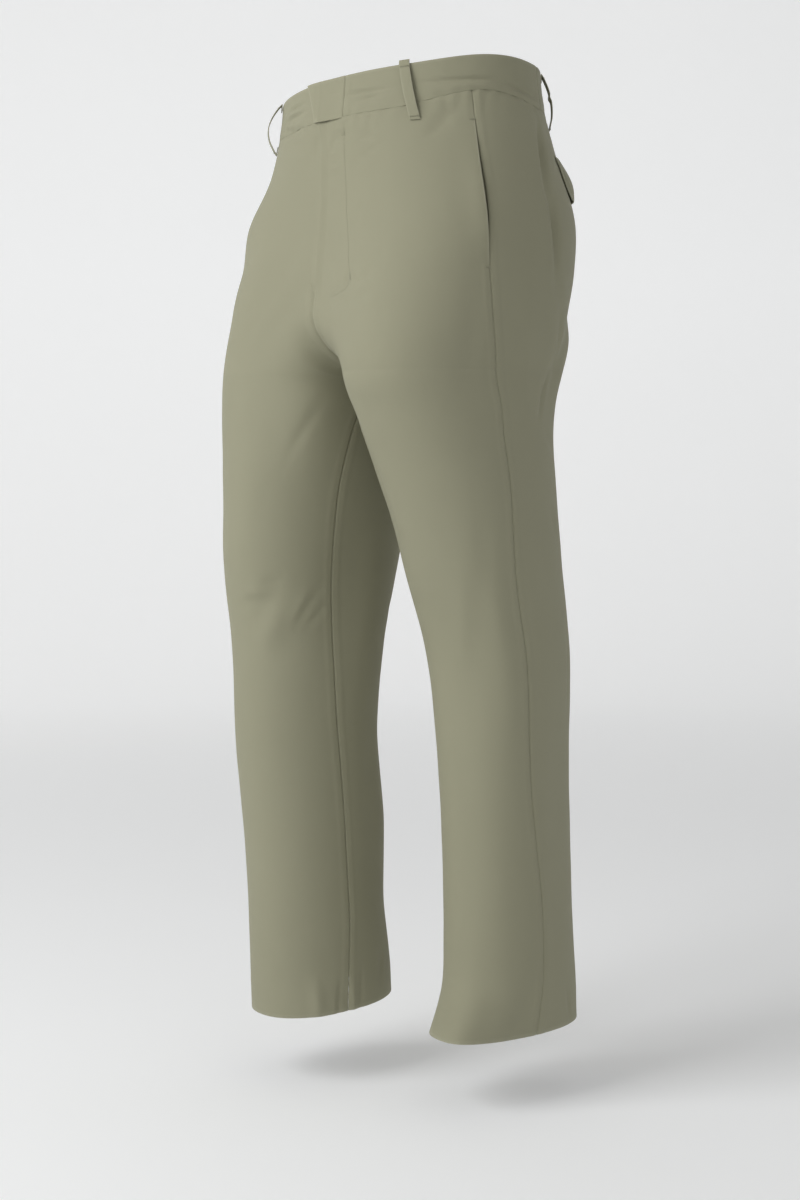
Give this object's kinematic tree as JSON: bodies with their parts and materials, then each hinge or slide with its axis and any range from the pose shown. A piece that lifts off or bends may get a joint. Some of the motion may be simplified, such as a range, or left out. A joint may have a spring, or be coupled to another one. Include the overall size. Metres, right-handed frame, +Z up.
{
  "type": "tech pants",
  "caption": "Straight-leg technical trousers as worn: hollow cloth shell with waistband, tab front, fly, belt loops, side pockets and back flap pockets.",
  "frame": {"origin": "centre of the waist opening, at the waistband's top edge", "axes": "+X to the wearer's left, -Y out of the front, +Z up the body"},
  "size_m": [0.3988, 0.3066, 1.0249],
  "materials": {
    "cloth": "smooth matt technical twill"
  },
  "bodies": {
    "root": {"front_left": "cloth", "front_right": "cloth", "back_left": "cloth", "back_right": "cloth", "fly_shield": "cloth", "waistband_left": "cloth", "waistband_right": "cloth", "waistband_back": "cloth", "waistband_tab": "cloth", "belt_loop_front_left": "cloth", "belt_loop_front_right": "cloth", "belt_loop_side_left": "cloth", "belt_loop_side_right": "cloth", "belt_loop_back": "cloth", "pocket_facing_left": "cloth", "pocket_facing_right": "cloth", "pocket_flap_left": "cloth", "pocket_flap_right": "cloth"}
  },
  "joints": []
}
